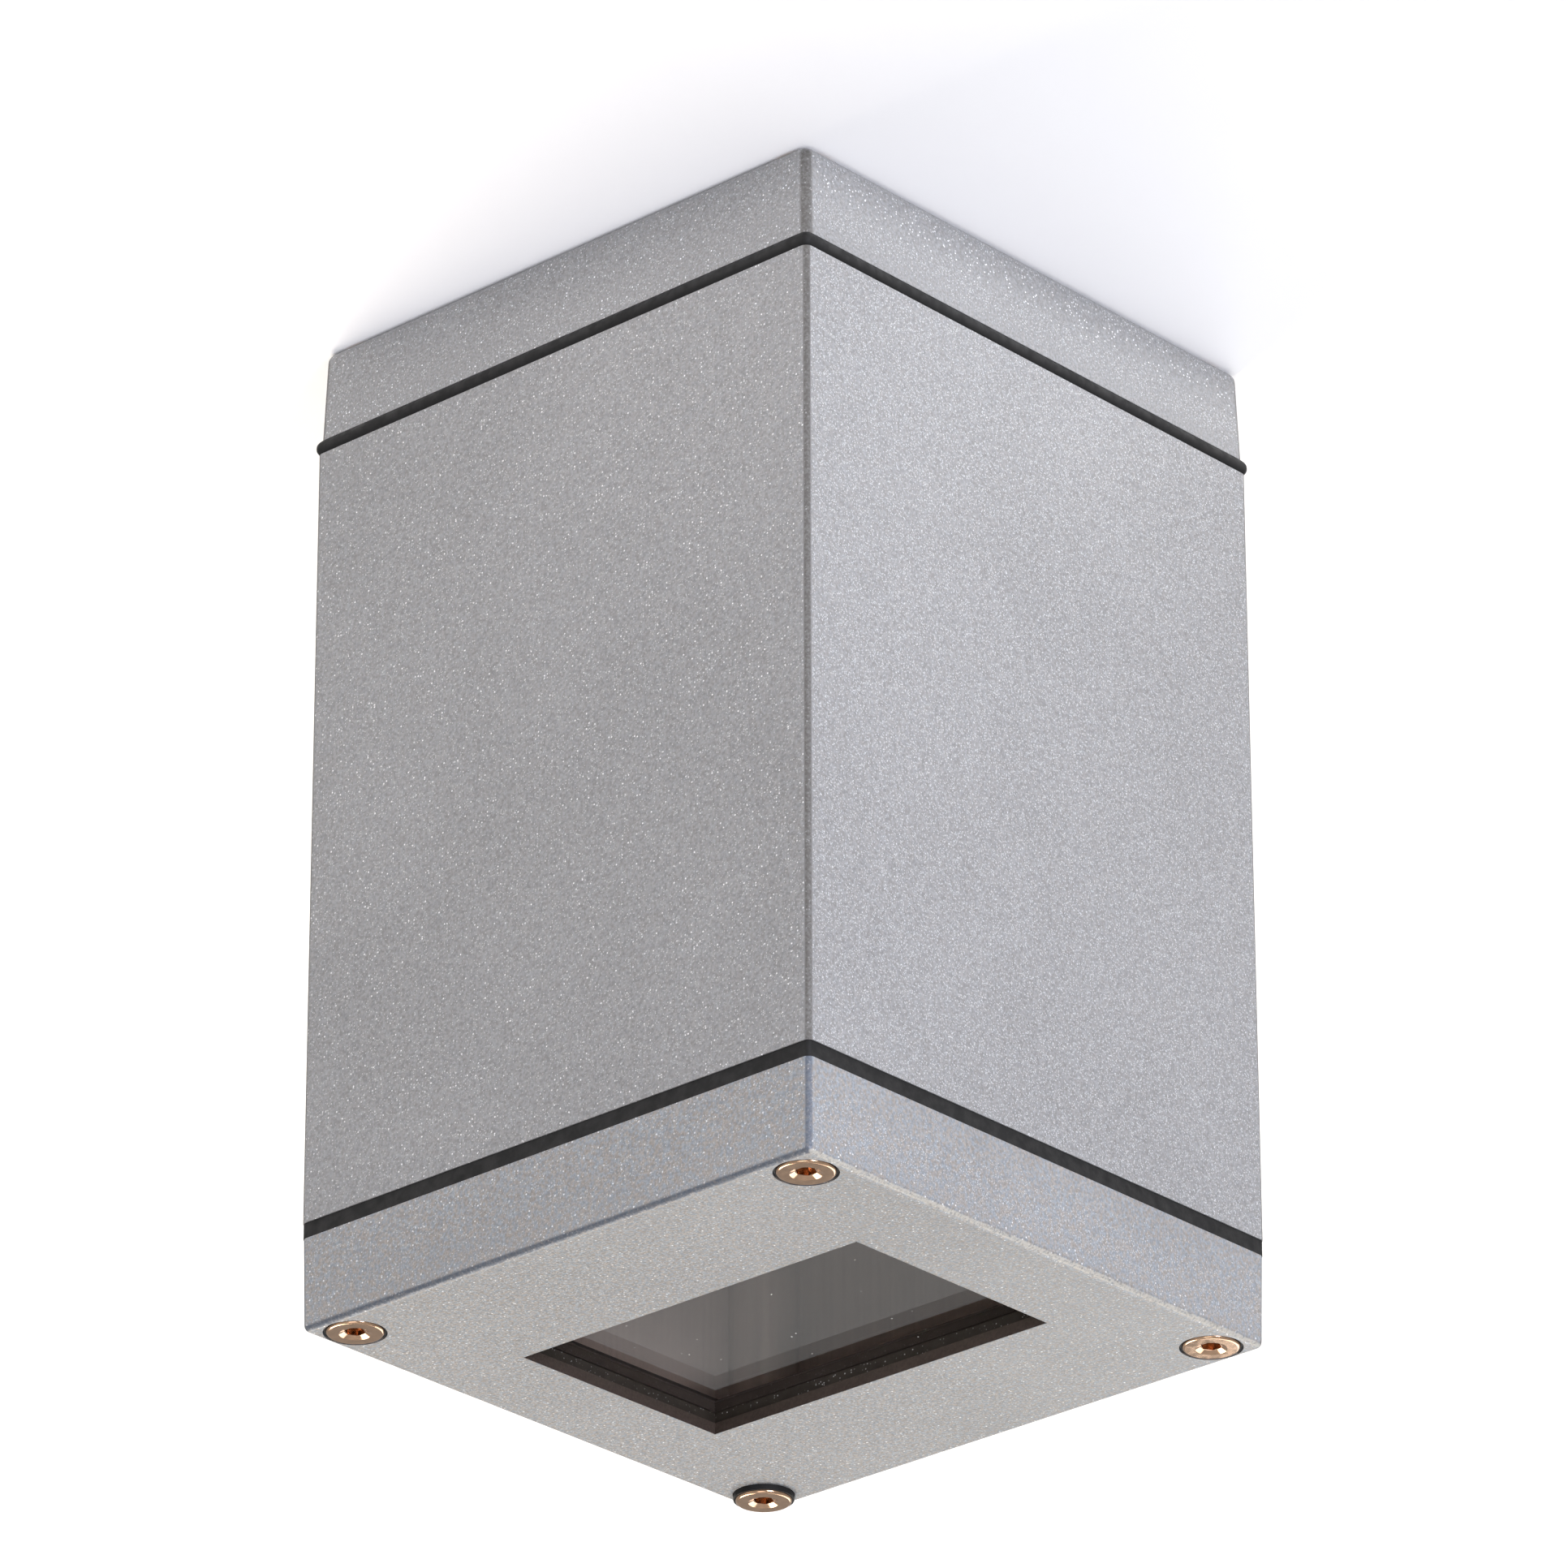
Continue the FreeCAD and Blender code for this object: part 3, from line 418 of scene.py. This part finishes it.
def bezel_coat():
    """The housing's coat in a finer grain with a bluish painted edge shade, and painted shade in
    dark brown on the window's recessed cut edges.
    """
    # The bluish tone is the painted shade on the bezel's corners and -Y lower rim.
    material = coat("bezel_coat", 0.303, 0.42 * MM, 0.75, 0.09, (0.22, 0.27, 0.36))
    look = Look.reopen(material)
    x, y, z = look.split(look.place)
    past_long = look.math("SUBTRACT", look.math("ABSOLUTE", x), WINDOW_HALF_LONG)
    past_short = look.math("SUBTRACT", look.math("ABSOLUTE", y), WINDOW_HALF_SHORT)
    inside = look.math("LESS_THAN", look.math("MAXIMUM", past_long, past_short), 0.05 * MM)
    above = look.math("GREATER_THAN", z, LOW.z + 1.45 * MM)
    # Painted shade: the window's recessed cut edges coloured dark brown.
    painted_cut_edge_shade = look.mix(look.noise(0.5 * MM, 3.0), (0.035, 0.024, 0.019, 1.0),
                      (0.085, 0.062, 0.050, 1.0))
    old = look.shader.inputs["Base Color"].links[0].from_socket
    look.feed(look.shader.inputs["Base Color"],
              look.mix(look.math("MULTIPLY", inside, above), old, painted_cut_edge_shade))
    return material


def dress(material, *nodes):
    """Give CAD nodes that material."""
    for name in nodes:
        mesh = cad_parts[name].data
        mesh.materials.clear()
        mesh.materials.append(material)


def dress_all():
    # Tone of the painted edge shade on the body's and base's corners and -Y lower rim.
    neutral_edge_shade = (0.27, 0.25, 0.22)
    dress(coat("body_coat", 0.281, 0.46 * MM, 1.0, 0.016, neutral_edge_shade, BODY_INNER_HALF),
          "body_extrusion")
    dress(coat("base_coat", 0.285, 0.46 * MM, 1.0, 0.016, neutral_edge_shade), "base_cap")
    dress(bezel_coat(), "bezel")
    plain_rubber = rubber("gasket_rubber", 0.01, 0.02)
    dress(plain_rubber, "top_gasket", "bottom_gasket", "screw_seals", "cable_grommet")
    squeezed_gasket(plain_rubber)
    dress(rubber("seal_rubber", 0.02, 0.25, dust_share=0.14), "glass_seal")
    dress(clear_glass(), "glass")
    # The copper-brown tone is a painted warm reflection on stainless steel.
    steel = turned_steel("stainless_screws", (0.57, 0.37, 0.24), 0.14)
    dress(steel, "cover_screws", "base_screws")
    cover_threads(steel)
    dress(zinc("zinc_steel"), "holder_bracket")
    dress(plastic("retainer_black", (0.030, 0.022, 0.018), (0.050, 0.038, 0.032), 0.5),
          "glass_retainer")
    dress(metal("zinc_screws", 0.55, 0.0, 0.3), "bracket_screws", "retainer_screws",
          "lampholder_screws", "terminal_block_screws", "terminal_screws", "earth_screw")
    dress(porcelain(), "lampholder_body")
    dress(metal("contact_brass", 0.5, 0.38, 0.28), "lampholder_shell", "lampholder_contact",
          "lampholder_terminals", "terminal_clamps", "earth_tag")
    dress(plastic("block_plastic", (0.72, 0.71, 0.64), (0.80, 0.79, 0.73), 0.45),
          "terminal_block")
    dress(plastic("brown_insulation", (0.10, 0.04, 0.02), (0.14, 0.06, 0.03), 0.4),
          "live_wire")
    dress(plastic("blue_insulation", (0.02, 0.08, 0.35), (0.03, 0.11, 0.45), 0.4),
          "neutral_wire")
    dress(striped_insulation(), "earth_wire")
    dress(plastic("opal_globe", (0.84, 0.84, 0.82), (0.90, 0.90, 0.88), 0.35,
                  Subsurface_Weight=0.25, Subsurface_Scale=0.004), "bulb_globe")
    dress(plastic("bulb_housing", (0.78, 0.78, 0.76), (0.84, 0.84, 0.82), 0.32),
          "bulb_collar")
    dress(metal("bulb_cap_metal", 0.62, 0.02, 0.25), "bulb_cap")
    dress(plastic("bulb_black", (0.01, 0.01, 0.01), (0.02, 0.02, 0.02), 0.12),
          "bulb_insulator")
    dress(metal("bulb_solder", 0.5, 0.0, 0.4), "bulb_contact")


# ---- upper gasket ----

def square_loop(half, radius):
    """Points round a square with rounded corners."""
    straight, arc = 60, 6
    loop = []
    reach = half - radius
    for side in range(4):
        turn = Matrix.Rotation(math.radians(90 * side), 2)
        for n in range(straight):
            loop.append(turn @ Vector((half, reach * (2 * n / straight - 1))))
        for n in range(arc):
            angle = math.radians(90 * n / arc)
            loop.append(turn @ Vector((reach + radius * math.cos(angle),
                                       reach + radius * math.sin(angle))))
    return loop


def join_loops(mesh, loops):
    """Skin a closed ring over loops of points that follow its cross-section round."""
    rows = [[mesh.verts.new(point) for point in loop] for loop in loops]
    for row, below in zip(rows, rows[1:] + rows[:1]):
        for n in range(len(row)):
            after = (n + 1) % len(row)
            mesh.faces.new((row[n], row[after], below[after], below[n])).smooth = True


def bead_loop(half, rise, z):
    """One line round the gasket's free edge. Rise goes from 1 at its top to -1 at its foot."""
    loop = []
    for point in square_loop(half, 1.1 * MM):
        wave = noise.noise(Vector((point.x, point.y, 0)) / (7 * MM))
        dent = (0.06 + 0.06 * wave) * MM + 0.55 * MM * abs(rise) ** 2.5
        loop.append((*(point * (1 - dent / half)), z))
    return loop


def circle(x, y, radius, z):
    count = 24
    angles = [2 * math.pi * n / count for n in range(count)]
    return [(x + radius * math.cos(a), y + radius * math.sin(a), z) for a in angles]


def squeezed_gasket(material):
    """The upper gasket with its free edge pressed out into a soft, slightly uneven bead."""
    low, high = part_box("top_gasket")
    middle, half_height = (low.z + high.z) / 2, (high.z - low.z) / 2
    mesh = bmesh.new()
    rises = [1 - step / 4 for step in range(9)]
    loops = [bead_loop(high.x, rise, middle + rise * half_height) for rise in rises]
    for z in (low.z, high.z):
        loops.append([(*point, z) for point in square_loop(BODY_INNER_HALF, 0.5 * MM)])
    join_loops(mesh, loops)
    section = ((LOBE_RADIUS, high.z), (LOBE_RADIUS, low.z), (LOBE_HOLE, low.z),
               (LOBE_HOLE, high.z))
    for x, y in CORNERS:
        join_loops(mesh, [circle(x * SCREW_AXIS, y * SCREW_AXIS, radius, z)
                          for radius, z in section])
    bmesh.ops.recalc_face_normals(mesh, faces=mesh.faces)
    gasket = new_object("squeezed_gasket", mesh, material)
    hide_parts("top_gasket")
    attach(gasket, "housing")


# ---- screw threads ----

def ridge(mesh, x, y, low, high):
    """A raised thread round an upright M5 shank between two heights."""
    steps = 20
    profile = ((2.45, -0.32), (2.59, -0.05), (2.59, 0.05), (2.45, 0.32))
    rows = []
    for n in range(int((high - low) / THREAD_PITCH) * steps):
        angle = 2 * math.pi * n / steps
        z = low + THREAD_PITCH * n / steps
        rows.append([mesh.verts.new((x + reach * MM * math.cos(angle),
                                     y + reach * MM * math.sin(angle), z + rise * MM))
                     for reach, rise in profile])
    for row, after in zip(rows, rows[1:]):
        for n in range(4):
            mesh.faces.new((row[n], row[n - 1], after[n - 1], after[n]))
    mesh.faces.new(rows[0])
    mesh.faces.new(reversed(rows[-1]))


def cover_threads(material):
    """Threads on the four cover screws, one of which hangs lower than the others."""
    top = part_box("cover_screws")[1].z - BARE_TIP
    mesh = bmesh.new()
    for x, y in CORNERS:
        drop = LOW_SCREW_DROP if (x, y) == LOW_SCREW_CORNER else 0.0
        ridge(mesh, x * SCREW_AXIS, y * SCREW_AXIS, top - THREAD_LENGTH - drop, top - drop)
    bmesh.ops.recalc_face_normals(mesh, faces=mesh.faces)
    threads = new_object("cover_screw_threads", mesh, material)
    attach(threads, "cover")


# ---- stage and lights ----

def stage_material(name, level, one_sided):
    """Matt pale paint. A one-sided sheet is clear when it is seen from its back."""
    look = Look(name)
    tone = look.mix(look.noise(0.6), grey(level * 0.985), grey(level))
    look.finish(tone, 0.9)
    if one_sided:
        look.see_through(look.node("NewGeometry").outputs["Backfacing"])
    return look.material


def square(mesh, half, z):
    """The corner points of a level square, anticlockwise as seen from above."""
    return [mesh.verts.new((x * half, y * half, z)) for x, y in CORNERS]


def make_stage():
    """A pale ceiling just above the lantern, open over it, and a pale floor far below."""
    mesh = bmesh.new()
    outer = square(mesh, CEILING_HALF, CEILING_GAP)
    inner = square(mesh, HIGH.x - 3 * MM, CEILING_GAP)
    for n in range(4):
        after = (n + 1) % 4
        mesh.faces.new((outer[after], outer[n], inner[n], inner[after]))
    ceiling = new_object("ceiling", mesh, stage_material("ceiling_paint", 0.97, True))
    mesh = bmesh.new()
    mesh.faces.new(square(mesh, FLOOR_HALF, FLOOR_LEVEL))
    new_object("floor", mesh, stage_material("floor_paint", 0.82, False))


def area_light(name, place, size, power, colour):
    """A soft square light aimed at the lantern's middle, or straight down from the ceiling."""
    data = bpy.data.lights.new(name, "AREA")
    data.size = size
    data.energy = power
    data.color = colour
    light = bpy.data.objects.new(name, data)
    bpy.context.scene.collection.objects.link(light)
    light.location = place
    if abs(place[2]) > 0.1:
        light.rotation_euler = (MIDDLE - Vector(place)).to_track_quat("-Z", "Y").to_euler()
    light.visible_camera = False


LIGHTS = (
    # name, place, size, power, colour
    ("key", (1.3, -0.5, -0.3), 0.6, 12.7, (0.96, 0.985, 1.11)),
    ("low_key", (1.15, -0.45, -0.62), 0.3, 5.2, (0.97, 0.975, 1.13)),
    ("side", (-0.6, -1.5, -0.25), 0.8, 1.0, (1.08, 0.95, 0.95)),
    ("below_front", (0.45, -0.85, -1.25), 0.6, 3.1, (1.03, 0.99, 0.99)),
    ("far_below", (-0.15, 0.55, -0.55), 0.4, 1.6, (1.0, 1.0, 0.98)),
    ("left_below", (-0.6, 0.1, -0.8), 0.4, 4.5, (1.10, 1.0, 0.88)),
    ("right_glow", (0.125, 0.01, -0.001), 0.13, 0.046, (1.0, 1.0, 1.0)),
    ("left_glow", (0.03, -0.12, -0.001), 0.11, 0.024, (1.03, 0.99, 0.98)),
    ("above", (0.6, -0.8, 1.0), 0.8, 14.0, (1.0, 1.0, 1.0)),
)


def make_lights():
    world = bpy.data.worlds.new("studio")
    world.use_nodes = True
    background = world.node_tree.nodes["Background"]
    background.inputs["Color"].default_value = (1.0, 1.0, 1.0, 1.0)
    background.inputs["Strength"].default_value = 0.5
    bpy.context.scene.world = world
    for name, place, size, power, colour in LIGHTS:
        area_light(name, place, size, power, colour)
    bpy.context.scene.view_settings.view_transform = "Standard"


make_camera()
make_stage()
make_lights()
dress_all()
